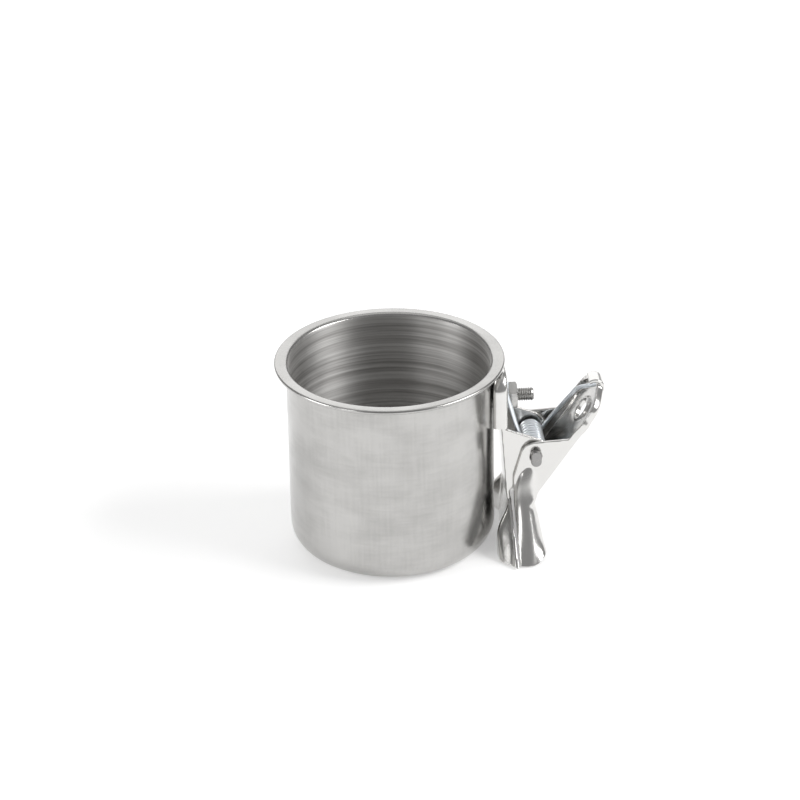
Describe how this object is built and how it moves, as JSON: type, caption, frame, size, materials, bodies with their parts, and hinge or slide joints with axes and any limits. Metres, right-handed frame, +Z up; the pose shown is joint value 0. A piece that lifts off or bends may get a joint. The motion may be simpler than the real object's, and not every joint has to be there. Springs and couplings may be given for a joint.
{
  "type": "seed cup",
  "caption": "Deep round steel cup with a flared rim and a sprung two-jaw clip bolted to its side, for holding seed on a cage wire.",
  "frame": {"origin": "centre of the cup's flat base, on the surface that it stands on", "axes": "+Z up along the cup's axis, +X from the cup's axis to the clip, +Y along the clip's pivot pin"},
  "size_m": [0.072, 0.0502, 0.044],
  "materials": {
    "stainless_cup": "satin drawn stainless steel",
    "plated_clip": "bright nickel-plated pressed steel",
    "pin_steel": "plain staked steel",
    "spring_wire": "blue-white zinc on spring wire",
    "fastener_steel": "zinc on machine-cut steel"
  },
  "bodies": {
    "cup_body": {"cup": "stainless_cup", "clip_back_plate": "plated_clip", "pivot_pin": "pin_steel", "torsion_spring": "spring_wire", "clamp_screw": "fastener_steel", "lock_washer": "fastener_steel", "hex_nut": "fastener_steel"},
    "lever": {"thumb_lever": "plated_clip"}
  },
  "joints": [
    {"name": "lever_hinge", "type": "hinge", "parent": "cup_body", "child": "lever", "pos_m": [0.0312, 0, 0.0223], "axis": [0, -1, 0], "range_deg": [0, 35], "stiffness_Nm_per_rad": 0.077, "springref_deg": -34.38, "deforming": ["torsion_spring"]}
  ]
}
